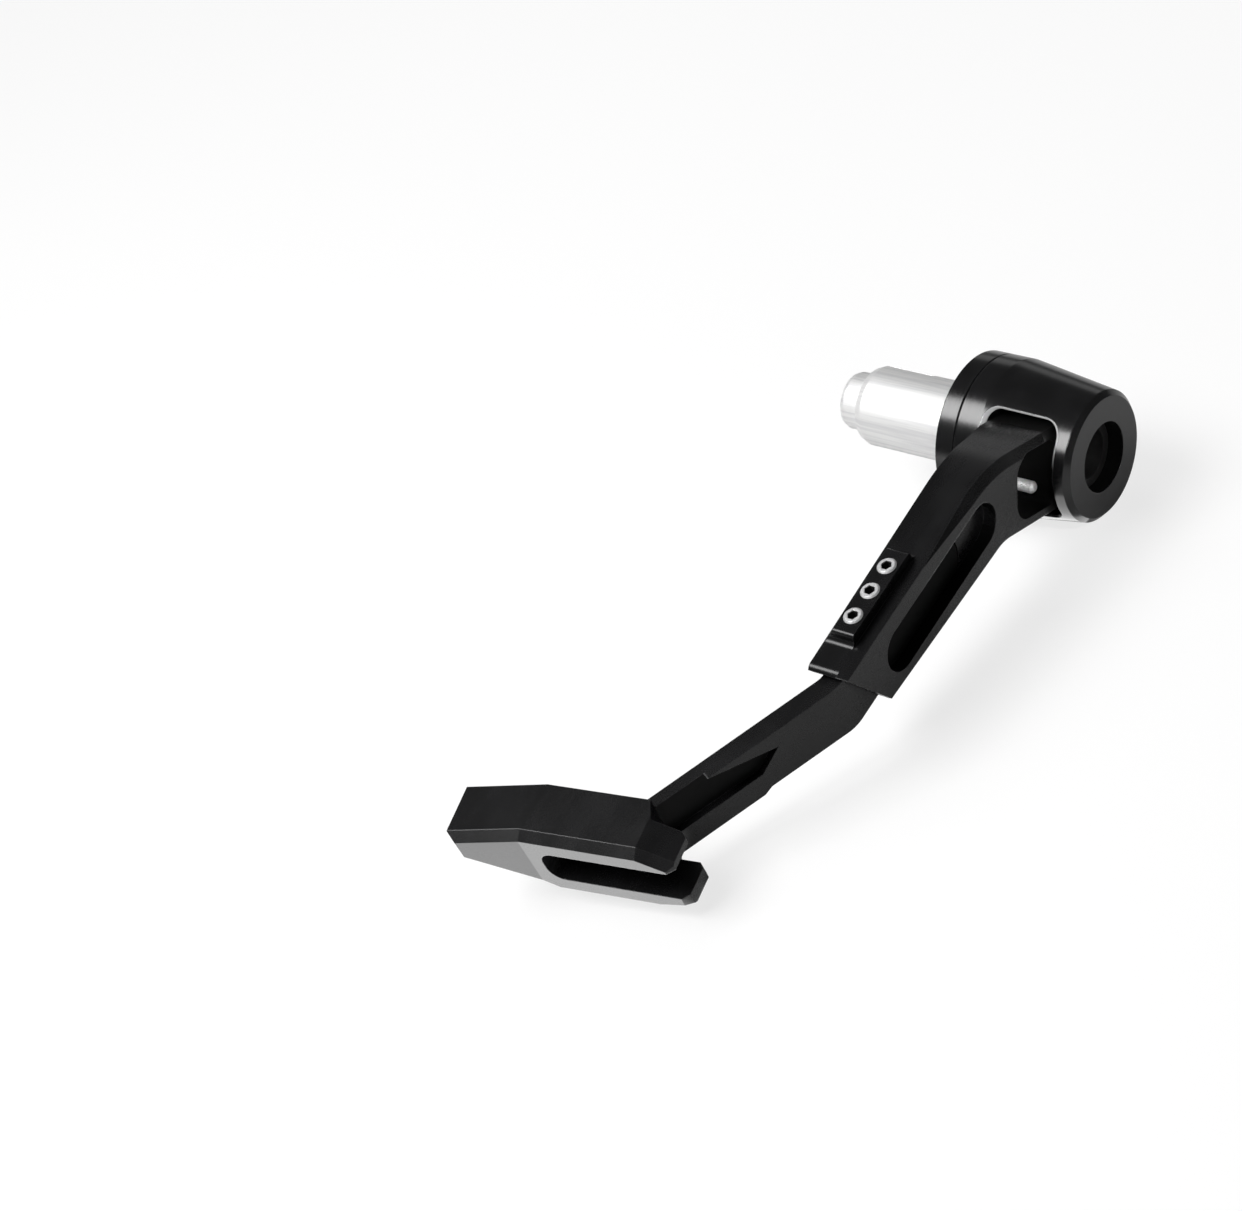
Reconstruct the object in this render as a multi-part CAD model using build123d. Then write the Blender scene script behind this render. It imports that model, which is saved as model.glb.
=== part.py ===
from build123d import *
from math import cos, radians, sin, tan
import os

# Brake lever guard for a handlebar end, in millimetres.
# Origin: centre of the base ring's inboard face, on the bar axis.
# +X runs along the bar, outboard. -Y is forward, along the arm. +Z is up, the set-screw side.

# Bar plug: a slit sleeve spread by a cone nut
PLUG_RADIUS = 8.5
PLUG_LENGTH = 26.5
PLUG_END_EASE = 2.2
SLIT_WIDTH = 1.2
SLIT_COUNT = 2
SLIT_START_X = -13.0
SLIT_ANGLE = -44.0
NUT_NOSE_RADIUS = 6.1
NUT_NOSE_LENGTH = 5.0
NUT_NOSE_EASE = 1.2
NUT_CONE_LENGTH = 11.0
NUT_CONE_RADIUS = 4.4
NUT_SEAT_CLEARANCE = 0.02

# Clamp bolt, M6 socket head, and its washer
BOLT_RADIUS = 3.0
BOLT_HEAD_RADIUS = 5.0
BOLT_HEAD_HEIGHT = 6.0
BOLT_SOCKET_FLATS = 5.0
BOLT_SOCKET_DEPTH = 3.2
BOLT_SHORT_OF_NOSE = 1.0
WASHER_RADIUS = 5.1
WASHER_THICKNESS = 1.2
BOLT_HOLE_CLEARANCE = 0.3
THREAD_CLEARANCE = 0.02

# Base ring and bar end cap
RING_RADIUS = 16.25
RING_THICKNESS = 4.1
RING_EDGE = 0.15
CAP_EDGE = 0.3
CAP_LENGTH = 25.4
CAP_STRAIGHT = 5.2
CAP_END_RADIUS = 13.6
CAP_END_CHAMFER = 1.1
CAP_BORE_RADIUS = 7.3
CAP_SEAT_THICKNESS = 2.9

# Window in the cap, milled square to the arm's root, lower at the outboard end of its top edge
WINDOW_START = 6.2
WINDOW_LENGTH = 15.3
WINDOW_BELOW = 10.8
WINDOW_ABOVE = 10.75
WINDOW_FALL = 1.1
WINDOW_CORNER = 2.4
WINDOW_TOP_CORNER = 3.6
WINDOW_EDGE = 0.7

# Pivot bush and stop pin
BUSH_FIT = 0.04
BUSH_LENGTH = 19.0
BUSH_SHOULDER = 7.8
BUSH_HEAD_CLEARANCE = 0.35
PIN_RADIUS = 1.3
PIN_TIP = 0.6
PIN_REACH = 21.8
PIN_INSET = 3.15
PIN_BELOW_ROOT = 3.7
PIN_SEAT_DEPTH = 5.9
PRESS_CLEARANCE = 0.01

# Arm
ARM_HEIGHT = 17.0
ARM_MIDDLE_Z = 15.0
ARM_OUT_X = 24.85
ARM_IN_X = 15.4
ARM_TAPER = 1.25
ARM_END_Y = -79.6
ARM_END_SLANT = 27.5
ROOT_ANGLE = 28.5
BEND_TOP_RADIUS = 30.0
BEND_LOW_RADIUS = 10.0
FLARE_START_Y = -33.0
FLARE_END_Y = -10.4
EYE_RADIUS = 9.4
EYE_SIDE_GAP = 0.75
EYE_TURNING_ROOM = 0.7
EYE_RUNNING_GAP = 0.05
OPENING_INNER = 10.6
OPENING_OUTER = 24.2
OPENING_HEIGHT = 13.8
OPENING_CORNER = 4.2
OPENING_INNER_CORNER = 2.0
BEVEL_WIDTH = 1.4
BEVEL_DEPTH = 2.1
BEVEL_VANISH_Y = -52.0
LOW_BEVEL_START_Y = -32.5
LOW_BEVEL_SLOPE = 3.1
SLOT_TOP_Y = -33.4
SLOT_LENGTH = 30.8
SLOT_RADIUS = 4.8
FLANGE_SHORT = 0.2
FLANGE_ROUND = 1.5

# Screw boss on the arm and its set screws, M4
BOSS_IN_X = 15.4
BOSS_DRAFT = 1.6
BOSS_TOP_WIDTH = 4.8
BOSS_START_Y = -50.2
BOSS_LENGTH = 21.4
BOSS_HEIGHT = 2.35
BOSS_END_ROUND = 0.9
BOSS_END_HOLLOW = 1.4
SCREW_RADIUS = 2.0
SCREW_PITCH = 6.26
SCREW_COUNT = 3
SCREW_PROUD = 0.5
SCREW_EDGE = 0.35
SCREW_SOCKET_FLATS = 2.0
SCREW_SOCKET_DEPTH = 2.2
SCREW_TIP_GAP = 0.1

# Tip: tongue and blade
TONGUE_THICKNESS = 4.4
TONGUE_HEIGHT = 12.0
TONGUE_GAP = 0.1
TONGUE_WALL = 2.75
TONGUE_START_Y = -39.2
CHANNEL_END_GAP = 0.4
BLADE_BEND_Y = -80.1
BLADE_ANGLE = 26.3
BLADE_BEND_RADIUS = 9.0
BLADE_LENGTH = 39.0
BLADE_STEP_START = 19.5
BLADE_STEP_LENGTH = 1.9
BLADE_STEP_HEIGHT = 0.9
GROOVE_DEPTH = 1.7
GROOVE_POINT = 14.9
GROOVE_POINT_Z = 17.1
GROOVE_LOW_START = 19.9
GROOVE_LOW_Z = 13.2
GROOVE_TOP_START = 29.5

# Tip: slotted foot
FOOT_JOIN = 24.8
FOOT_SINK = 5.3
FOOT_ANGLE = 10.15
FOOT_DEPTH = 12.6
FOOT_WEB = 4.2
FOOT_WEB_LENGTH = 22.6
FOOT_WEB_STEP = 2.0
JAW_LENGTH = 31.3
JAW_CORNER = 1.4
JAW_REAR_CORNER = 1.0
JAW_SLOPE_START = 24.2
JAW_TOP_SLOPE = 23.0
JAW_LOW_SLOPE = 11.0
NOSE_TURN = 10.95
NOSE_LENGTH = 17.0
NOSE_CORNER = 1.9
NOSE_END_LEAN = 2.8
NOSE_UNDER_SLOPE = 31.2
NOSE_UNDER_START = -1.0
FOOT_SLOT_HEIGHT = 8.0
FOOT_SLOT_START = 1.7
FOOT_SLOT_CORNER = 3.2
FOOT_BEVEL_FORWARD = 2.0
FOOT_BEVEL_DOWN = 1.4
FOOT_REAR_EDGE = 0.15

# Places that follow from the sizes above
CAP_START_X = RING_THICKNESS
CAP_END_X = CAP_START_X + CAP_LENGTH
WINDOW_IN_X = CAP_START_X + WINDOW_START
WINDOW_OUT_X = WINDOW_IN_X + WINDOW_LENGTH
BUSH_IN_X = CAP_START_X + CAP_SEAT_THICKNESS
BUSH_RADIUS = CAP_BORE_RADIUS - BUSH_FIT
PIN_ALONG_ROOT = RING_RADIUS - PIN_INSET
HEAD_SEAT_X = BUSH_IN_X + BUSH_SHOULDER
BOLT_HOLE_RADIUS = BOLT_RADIUS + BOLT_HOLE_CLEARANCE
NOSE_END_X = -PLUG_LENGTH - NUT_NOSE_LENGTH
EYE_IN_X = WINDOW_IN_X + EYE_SIDE_GAP
ARM_TOP_Z = ARM_MIDDLE_Z + ARM_HEIGHT / 2
ARM_LOW_Z = ARM_MIDDLE_Z - ARM_HEIGHT / 2
CHANNEL_X = ARM_OUT_X - TONGUE_WALL
TONGUE_OUT_X = CHANNEL_X - TONGUE_GAP
TONGUE_IN_X = TONGUE_OUT_X - TONGUE_THICKNESS
TONGUE_TOP_Z = ARM_MIDDLE_Z + TONGUE_HEIGHT / 2
BOSS_OUT_X = BOSS_IN_X + BOSS_DRAFT + BOSS_TOP_WIDTH
BOSS_MIDDLE_X = BOSS_OUT_X - BOSS_TOP_WIDTH / 2
BOSS_MIDDLE_Y = BOSS_START_Y - BOSS_LENGTH / 2
BOSS_TOP_Z = ARM_TOP_Z + BOSS_HEIGHT
NOSE_DEPTH = FOOT_DEPTH * (2 * cos(radians(NOSE_TURN)) - 1)
PAST = 2.0
ROOT_UP, ROOT_OUT = sin(radians(ROOT_ANGLE)), cos(radians(ROOT_ANGLE))
BLADE_IN, BLADE_ON = sin(radians(BLADE_ANGLE)), cos(radians(BLADE_ANGLE))

# Planes: the root looks along +X with its local x along the root, and its normal outboard
ROOT_PLANE = Plane(origin=(0, 0, 0), x_dir=(0, -ROOT_OUT, ROOT_UP), z_dir=(1, 0, 0))
# The window is milled along the root, so its plane faces that way, with local x along the bar
WINDOW_PLANE = Plane(origin=(0, 0, 0), x_dir=(1, 0, 0), z_dir=(0, -ROOT_OUT, ROOT_UP))
# The blade's outboard face: local x along the blade from the bend, local y up, normal inboard
BLADE_PLANE = Plane(
    origin=(TONGUE_OUT_X, BLADE_BEND_Y, 0), x_dir=(-BLADE_IN, -BLADE_ON, 0), z_dir=(-BLADE_ON, BLADE_IN, 0)
)
# The foot's plan: local x outboard along the foot, local y to the rear, from where the nose turns off
FOOT_MEETS_BLADE = Plane(BLADE_PLANE.from_local_coords((BLADE_LENGTH, 0, 0))).rotated((0, 0, FOOT_ANGLE))
FOOT_PLANE = Plane(FOOT_MEETS_BLADE.from_local_coords((-FOOT_JOIN, 0, 0))).rotated((0, 0, FOOT_ANGLE))
# The nose's plan: the same, turned with the nose
NOSE_PLANE = FOOT_PLANE.rotated((0, 0, NOSE_TURN))
# The foot's front: local x outboard along the foot, local y up, normal forward
FOOT_FRONT = Plane(
    origin=FOOT_PLANE.from_local_coords((0, -FOOT_DEPTH, 0)), x_dir=FOOT_PLANE.x_dir, z_dir=-FOOT_PLANE.y_dir
)


def face_of(*points):
    """A flat face with the given corners."""
    return make_face(Polyline(*points, close=True))


def turned(*profile):
    """A solid turned about the bar axis from (x, radius) corners."""
    return revolve(face_of(*profile), Axis.X)


def drilled(radius, start_x, end_x):
    """A round bore on the bar axis from start_x to end_x."""
    return turned((start_x, 0), (end_x, 0), (end_x, radius), (start_x, radius))


def across(sketch, start_x, end_x):
    """Pull a sketch drawn in (y, z) along the bar from start_x to end_x."""
    return extrude(Plane.YZ.offset(start_x) * sketch, end_x - start_x)


def upright(sketch, start_z, end_z):
    """Pull a plan sketch up from start_z to end_z."""
    return extrude(Plane.XY.offset(start_z) * sketch, end_z - start_z)


def hex_socket(flats, depth):
    """A hexagon socket cut, drawn down from z = 0."""
    return extrude(RegularPolygon(flats / 2, 6, major_radius=False), -depth)


def near(shape, point):
    """The vertex of a sketch nearest to a point."""
    return shape.vertices().sort_by_distance(point)[0]


def eased(end_x, radius, ease):
    """(x, radius) corners of the two flats that ease the inner end of a turned wall."""
    return [
        (end_x + ease * (1 - sin(radians(turn))), radius - ease * (1 - cos(radians(turn))))
        for turn in (90, 45, 0)
    ]


def wedge_nut():
    """Round nose with a cone that spreads the sleeve, tapped for the bolt."""
    seat_x = -PLUG_LENGTH
    nut = turned(
        (NOSE_END_X, 0),
        *eased(NOSE_END_X, NUT_NOSE_RADIUS, NUT_NOSE_EASE),
        (seat_x, NUT_NOSE_RADIUS),
        (seat_x + NUT_CONE_LENGTH, NUT_CONE_RADIUS),
        (seat_x + NUT_CONE_LENGTH, 0),
    )
    return nut - drilled(BOLT_RADIUS + THREAD_CLEARANCE, NOSE_END_X - PAST, seat_x + NUT_CONE_LENGTH + PAST)


def expander_plug():
    """Sleeve with a cone seat at its inner end and slits that let it spread."""
    corner = eased(-PLUG_LENGTH, PLUG_RADIUS, PLUG_END_EASE)
    sleeve = turned((0, 0), (-PLUG_LENGTH, 0), *corner, (0, PLUG_RADIUS))
    wide, narrow = NUT_NOSE_RADIUS + NUT_SEAT_CLEARANCE, NUT_CONE_RADIUS + NUT_SEAT_CLEARANCE
    seat = turned(
        (-PLUG_LENGTH - PAST, 0),
        (-PLUG_LENGTH - PAST, wide),
        (-PLUG_LENGTH, wide),
        (-PLUG_LENGTH + NUT_CONE_LENGTH, narrow),
        (-PLUG_LENGTH + NUT_CONE_LENGTH, 0),
    )
    sleeve -= seat
    sleeve -= drilled(BOLT_HOLE_RADIUS, -PLUG_LENGTH, PAST)
    slit_length = PLUG_LENGTH + SLIT_START_X + PAST
    slit = Box(slit_length, SLIT_WIDTH, 2 * PLUG_RADIUS)
    slit = Pos(SLIT_START_X - slit_length / 2, 0, PLUG_RADIUS) * slit
    for number in range(SLIT_COUNT):
        turn = 90 - SLIT_ANGLE + number * 360 / SLIT_COUNT
        sleeve -= Rot(turn, 0, 0) * slit
    return sleeve


def clamp_bolt():
    """M6 socket-head bolt along the bar axis, its head sunk in the bush."""
    head_x = HEAD_SEAT_X + WASHER_THICKNESS
    end_x = NOSE_END_X + BOLT_SHORT_OF_NOSE
    bolt = turned(
        (end_x, 0),
        (end_x, BOLT_RADIUS),
        (head_x, BOLT_RADIUS),
        (head_x, BOLT_HEAD_RADIUS),
        (head_x + BOLT_HEAD_HEIGHT, BOLT_HEAD_RADIUS),
        (head_x + BOLT_HEAD_HEIGHT, 0),
    )
    rim = bolt.edges().filter_by(GeomType.CIRCLE).sort_by(Axis.X)[-1]
    bolt = chamfer(rim, BOLT_HOLE_CLEARANCE)
    socket = hex_socket(BOLT_SOCKET_FLATS, BOLT_SOCKET_DEPTH)
    return bolt - Plane.YZ.offset(head_x + BOLT_HEAD_HEIGHT) * socket


def bolt_washer():
    """Plain washer between the bolt's head and the bush."""
    end_x = HEAD_SEAT_X + WASHER_THICKNESS
    return drilled(WASHER_RADIUS, HEAD_SEAT_X, end_x) - drilled(BOLT_HOLE_RADIUS, HEAD_SEAT_X, end_x)


def base_ring():
    """Ring that rests on the end of the bar."""
    ring = drilled(RING_RADIUS, 0, RING_THICKNESS)
    ring = chamfer(ring.edges().filter_by(GeomType.CIRCLE), RING_EDGE)
    return ring - drilled(BOLT_HOLE_RADIUS, -PAST, RING_THICKNESS + PAST)


def stop_pin_place():
    """(y, z) of the stop pin, below the middle of the arm's root."""
    y = -PIN_ALONG_ROOT * ROOT_OUT - PIN_BELOW_ROOT * ROOT_UP
    z = PIN_ALONG_ROOT * ROOT_UP - PIN_BELOW_ROOT * ROOT_OUT
    return y, z


def bar_end_cap():
    """Turned cap with a straight band, a cone, a bore for the bush and a window for the arm."""
    cone_x = CAP_START_X + CAP_STRAIGHT
    cap = turned(
        (CAP_START_X, 0),
        (CAP_START_X, RING_RADIUS - CAP_EDGE),
        (CAP_START_X + CAP_EDGE, RING_RADIUS),
        (cone_x, RING_RADIUS),
        (CAP_END_X - CAP_END_CHAMFER, CAP_END_RADIUS),
        (CAP_END_X, CAP_END_RADIUS - CAP_END_CHAMFER),
        (CAP_END_X, 0),
    )
    top_corner = (WINDOW_OUT_X, WINDOW_ABOVE - WINDOW_FALL)
    opening = face_of(
        (WINDOW_IN_X, -WINDOW_BELOW),
        (WINDOW_OUT_X, -WINDOW_BELOW),
        top_corner,
        (WINDOW_IN_X, WINDOW_ABOVE),
    )
    opening = fillet(near(opening, (*top_corner, 0)), WINDOW_TOP_CORNER)
    for corner in ((WINDOW_IN_X, -WINDOW_BELOW), (WINDOW_OUT_X, -WINDOW_BELOW), (WINDOW_IN_X, WINDOW_ABOVE)):
        opening = fillet(near(opening, (*corner, 0)), WINDOW_CORNER)
    cap -= extrude(WINDOW_PLANE * opening, RING_RADIUS + PAST)
    outside = CAP_END_RADIUS / 2
    rim = [edge for edge in cap.edges() if WINDOW_PLANE.to_local_coords(edge.center()).Z > outside
           and WINDOW_IN_X - PAST / 4 < edge.center().X < WINDOW_OUT_X + PAST / 4]
    cap = chamfer(rim, WINDOW_EDGE)
    cap -= drilled(EYE_RADIUS + EYE_TURNING_ROOM, WINDOW_IN_X, WINDOW_OUT_X)
    cap -= drilled(CAP_BORE_RADIUS, BUSH_IN_X, CAP_END_X + PAST)
    cap -= drilled(BOLT_HOLE_RADIUS, CAP_START_X - PAST, CAP_END_X)
    pin_hole = Pos(*stop_pin_place()) * Circle(PIN_RADIUS + PRESS_CLEARANCE)
    return cap - across(pin_hole, WINDOW_IN_X - PIN_SEAT_DEPTH, WINDOW_IN_X + PAST)


def pivot_bush():
    """Sleeve that the arm turns on, bored for the bolt and for its head."""
    end_x = BUSH_IN_X + BUSH_LENGTH
    bush = drilled(BUSH_RADIUS, BUSH_IN_X, end_x)
    bush -= drilled(BOLT_HOLE_RADIUS, BUSH_IN_X - PAST, end_x)
    return bush - drilled(BOLT_HEAD_RADIUS + BUSH_HEAD_CLEARANCE, HEAD_SEAT_X, end_x + PAST)


def stop_pin():
    """Steel pin with a chamfered tip that stands in the opening of the arm's root."""
    pin = across(Pos(*stop_pin_place()) * Circle(PIN_RADIUS), WINDOW_IN_X - PIN_SEAT_DEPTH, PIN_REACH)
    tip = pin.edges().filter_by(GeomType.CIRCLE).sort_by(Axis.X)[-1]
    return chamfer(tip, PIN_TIP)


def root_point(along, above):
    """(y, z) of a point along the arm's root and above its middle line."""
    return -along * ROOT_OUT + above * ROOT_UP, along * ROOT_UP + above * ROOT_OUT


def arm_bend(side):
    """(y, z) where the root's upper (+1) or lower (-1) edge meets the straight arm's."""
    z = ARM_MIDDLE_Z + side * ARM_HEIGHT / 2
    return (side * ARM_HEIGHT / 2 - z * ROOT_OUT) / ROOT_UP, z


def arm_outline():
    """Side view of the arm from its eye to its slanted mouth, in (y, z)."""
    mouth_low_y = ARM_END_Y + ARM_HEIGHT * tan(radians(ARM_END_SLANT))
    outline = face_of(
        root_point(0, ARM_HEIGHT / 2),
        arm_bend(1),
        (ARM_END_Y, ARM_TOP_Z),
        (mouth_low_y, ARM_LOW_Z),
        arm_bend(-1),
        root_point(0, -ARM_HEIGHT / 2),
    )
    outline = fillet(near(outline, (*arm_bend(1), 0)), BEND_TOP_RADIUS)
    return fillet(near(outline, (*arm_bend(-1), 0)), BEND_LOW_RADIUS)


def arm_flare():
    """Cut that thins the arm from its wide eye to its straight part, seen in plan."""
    narrowing = (FLARE_START_Y - ARM_END_Y + PAST) * tan(radians(ARM_TAPER))
    straight = Line((ARM_IN_X, ARM_END_Y - PAST), (ARM_IN_X - narrowing, FLARE_START_Y))
    sweep_in = TangentArc(straight @ 1, (EYE_IN_X, FLARE_END_Y), tangent=straight % 1)
    rest = Polyline(
        sweep_in @ 1,
        (EYE_IN_X - PAST, FLARE_END_Y),
        (EYE_IN_X - PAST, ARM_END_Y - PAST),
        straight @ 0,
    )
    return upright(make_face(straight + sweep_in + rest), -RING_RADIUS, BOSS_TOP_Z)


def arm_bevel():
    """Cut along the arm's outboard top edge: full on the root and bend, fading out on the straight."""
    bend_y, top_z = arm_bend(1)
    run = BEND_TOP_RADIUS * tan(radians(ROOT_ANGLE / 2))
    start = (bend_y - run, top_z)
    finish = (bend_y + run * ROOT_OUT, top_z - run * ROOT_UP)
    corner = Plane(origin=(ARM_OUT_X, *start), x_dir=(1, 0, 0), z_dir=(0, 1, 0))
    section = face_of(
        (-BEVEL_WIDTH, 0),
        (0, BEVEL_DEPTH),
        (PAST, BEVEL_DEPTH),
        (PAST, -PAST),
        (-BEVEL_WIDTH, -PAST),
    )
    section = corner * section
    arc = RadiusArc(start, finish, BEND_TOP_RADIUS)
    line = Line(finish, root_point(0, ARM_HEIGHT / 2))
    path = Plane.YZ.offset(ARM_OUT_X) * (arc + line)
    vanish = Vertex(ARM_OUT_X, BEVEL_VANISH_Y, top_z)
    return sweep(section, path) + loft([vanish, section])


def low_bevel():
    """Wedge cut along the arm's outboard low edge, growing from the bend to the mouth."""
    start = Vertex(ARM_OUT_X, LOW_BEVEL_START_Y, ARM_LOW_Z)
    end_y = ARM_END_Y - PAST
    rise = (LOW_BEVEL_START_Y - end_y) * tan(radians(LOW_BEVEL_SLOPE))
    corner = Plane(origin=(ARM_OUT_X, end_y, ARM_LOW_Z), x_dir=(1, 0, 0), z_dir=(0, 1, 0))
    section = face_of((PAST, -rise - PAST), (PAST, PAST), (-rise - PAST, PAST))
    return loft([start, corner * section])


def arm_channel():
    """Channel for the tongue: open on the inboard side and at the mouth, with a round end."""
    radius = TONGUE_HEIGHT / 2 + TONGUE_GAP
    end_y = TONGUE_START_Y + CHANNEL_END_GAP - radius
    far_y = ARM_END_Y - PAST
    low, high = ARM_MIDDLE_Z - radius, ARM_MIDDLE_Z + radius
    sides = Polyline((end_y, high), (far_y, high), (far_y, low), (end_y, low))
    round_end = ThreePointArc((end_y, low), (end_y + radius, ARM_MIDDLE_Z), (end_y, high))
    return across(make_face(sides + round_end), EYE_IN_X - PAST, CHANNEL_X)


def flange_trim():
    """Cut that ends the channel's flanges just before the outboard wall, with a rounded top edge."""
    shift = ARM_HEIGHT * tan(radians(ARM_END_SLANT))
    end_y = ARM_END_Y + FLANGE_SHORT
    rear_y = end_y + shift + PAST
    flange = face_of(
        (end_y, ARM_TOP_Z),
        (end_y, ARM_MIDDLE_Z),
        (end_y + shift, ARM_LOW_Z),
        (rear_y, ARM_LOW_Z),
        (rear_y, ARM_TOP_Z),
    )
    flange = fillet(near(flange, (end_y, ARM_TOP_Z, 0)), FLANGE_ROUND)
    front_y = ARM_END_Y - PAST
    area = face_of((front_y, ARM_TOP_Z), (front_y, ARM_LOW_Z), (rear_y, ARM_LOW_Z), (rear_y, ARM_TOP_Z))
    return across(area - flange, EYE_IN_X, CHANNEL_X)


def screw_boss():
    """Boss that gives the set screws their thread length: hollow-rounded ends, sloped inboard side."""
    front_y = BOSS_START_Y - BOSS_LENGTH
    foot_y, toe_y = BOSS_START_Y + BOSS_END_HOLLOW, front_y - BOSS_END_HOLLOW
    hollow_z = ARM_TOP_Z + BOSS_END_HOLLOW
    rear = RadiusArc((foot_y, ARM_TOP_Z), (BOSS_START_Y, hollow_z), BOSS_END_HOLLOW)
    front = RadiusArc((front_y, hollow_z), (toe_y, ARM_TOP_Z), BOSS_END_HOLLOW)
    ends = (BOSS_START_Y, BOSS_TOP_Z), (front_y, BOSS_TOP_Z)
    below = (TONGUE_TOP_Z + ARM_TOP_Z) / 2
    rest = Polyline(front @ 1, (toe_y, below), (foot_y, below), rear @ 0)
    outline = make_face(rear + Polyline(rear @ 1, *ends, front @ 0) + front + rest)
    for end in ends:
        outline = fillet(near(outline, (*end, 0)), BOSS_END_ROUND)
    boss = across(outline, BOSS_IN_X, BOSS_OUT_X)
    slope = Plane(origin=(BOSS_IN_X, 0, ARM_TOP_Z), z_dir=(-BOSS_HEIGHT, 0, BOSS_DRAFT))
    return split(boss, slope, keep=Keep.BOTTOM)


def screw_places():
    """(x, y) of each set screw, in a row along the middle of the boss's top."""
    first = BOSS_MIDDLE_Y + SCREW_PITCH * (SCREW_COUNT - 1) / 2
    return [(BOSS_MIDDLE_X, first - number * SCREW_PITCH) for number in range(SCREW_COUNT)]


def root_opening():
    """Window through the arm's root, with wider corners at its outer end."""
    opening = Rectangle(OPENING_OUTER - OPENING_INNER, OPENING_HEIGHT)
    opening = fillet(opening.vertices().group_by(Axis.X)[0], OPENING_INNER_CORNER)
    opening = fillet(opening.vertices().group_by(Axis.X)[-1], OPENING_CORNER)
    opening = ROOT_PLANE * Pos((OPENING_OUTER + OPENING_INNER) / 2, 0) * opening
    return extrude(Pos(EYE_IN_X - PAST, 0, 0) * opening, ARM_OUT_X - EYE_IN_X + 2 * PAST)


def guard_arm():
    """Milled arm: eye on the bush, open root, bend, and a slotted channel for the tip's tongue."""
    arm = across(arm_outline(), EYE_IN_X, ARM_OUT_X) + across(Circle(EYE_RADIUS), EYE_IN_X, ARM_OUT_X)
    arm -= arm_flare()
    arm -= arm_bevel()
    arm -= low_bevel()
    arm += screw_boss()
    arm -= arm_channel()
    arm -= flange_trim()
    slot = Pos(SLOT_TOP_Y - SLOT_LENGTH / 2, ARM_MIDDLE_Z) * SlotCenterToCenter(SLOT_LENGTH, 2 * SLOT_RADIUS)
    arm -= across(slot, CHANNEL_X - TONGUE_GAP, ARM_OUT_X + PAST)
    arm -= root_opening()
    arm -= across(Circle(BUSH_RADIUS + EYE_RUNNING_GAP), EYE_IN_X - PAST, ARM_OUT_X + PAST)
    for x, y in screw_places():
        arm -= Pos(x, y) * upright(Circle(SCREW_RADIUS + THREAD_CLEARANCE), ARM_MIDDLE_Z, BOSS_TOP_Z + PAST)
    return arm


def arm_set_screws():
    """Three hex-socket set screws that clamp the tongue, as one group of like fasteners."""
    top_z = BOSS_TOP_Z + SCREW_PROUD
    tip_z = TONGUE_TOP_Z + SCREW_TIP_GAP
    screw = upright(Circle(SCREW_RADIUS), tip_z, top_z)
    screw = chamfer(screw.edges().filter_by(GeomType.CIRCLE).sort_by(Axis.Z)[-1], SCREW_EDGE)
    screw -= Pos(0, 0, top_z) * hex_socket(SCREW_SOCKET_FLATS, SCREW_SOCKET_DEPTH)
    return Compound([Pos(x, y) * screw for x, y in screw_places()])


def tongue_and_blade():
    """Flat bar that is straight in the channel and turns inboard at the mouth, then runs to the foot."""
    reach = BLADE_LENGTH + FOOT_SINK
    foot_end = BLADE_PLANE.from_local_coords((reach, 0, 0))
    inner_shift = TONGUE_THICKNESS * tan(radians(BLADE_ANGLE / 2))
    inner_end = BLADE_PLANE.from_local_coords((reach, 0, TONGUE_THICKNESS))
    inner_bend = (TONGUE_IN_X, BLADE_BEND_Y + inner_shift)
    plan = face_of(
        (TONGUE_IN_X, TONGUE_START_Y),
        (TONGUE_OUT_X, TONGUE_START_Y),
        (TONGUE_OUT_X, BLADE_BEND_Y),
        (foot_end.X, foot_end.Y),
        (inner_end.X, inner_end.Y),
        inner_bend,
    )
    plan = fillet(near(plan, (TONGUE_OUT_X, BLADE_BEND_Y, 0)), BLADE_BEND_RADIUS)
    plan = fillet(near(plan, (*inner_bend, 0)), BLADE_BEND_RADIUS - TONGUE_THICKNESS)
    low_z = ARM_MIDDLE_Z - TONGUE_HEIGHT / 2
    bar = upright(plan, low_z, TONGUE_TOP_Z)
    end_corners = bar.edges().filter_by(Axis.X).group_by(Axis.Y)[-1]
    bar = fillet(end_corners, TONGUE_HEIGHT / 2 - TONGUE_GAP)
    step_end = BLADE_STEP_START + BLADE_STEP_LENGTH
    deeper = face_of(
        (BLADE_STEP_START, low_z),
        (step_end, low_z - BLADE_STEP_HEIGHT),
        (reach, low_z - BLADE_STEP_HEIGHT),
        (reach, ARM_MIDDLE_Z),
        (BLADE_STEP_START, ARM_MIDDLE_Z),
    )
    return bar + extrude(BLADE_PLANE * deeper, TONGUE_THICKNESS)


def blade_groove():
    """Pocket milled in the blade's outboard face, pointed at its outer end, open upward and to the foot."""
    reach = BLADE_LENGTH + FOOT_SINK
    outline = face_of(
        (GROOVE_POINT, GROOVE_POINT_Z),
        (GROOVE_LOW_START, GROOVE_LOW_Z),
        (reach, GROOVE_LOW_Z),
        (reach, TONGUE_TOP_Z + PAST),
        (GROOVE_TOP_START, TONGUE_TOP_Z + PAST),
        (GROOVE_TOP_START, TONGUE_TOP_Z),
    )
    return extrude(BLADE_PLANE.offset(-PAST) * outline, GROOVE_DEPTH + PAST)


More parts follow.
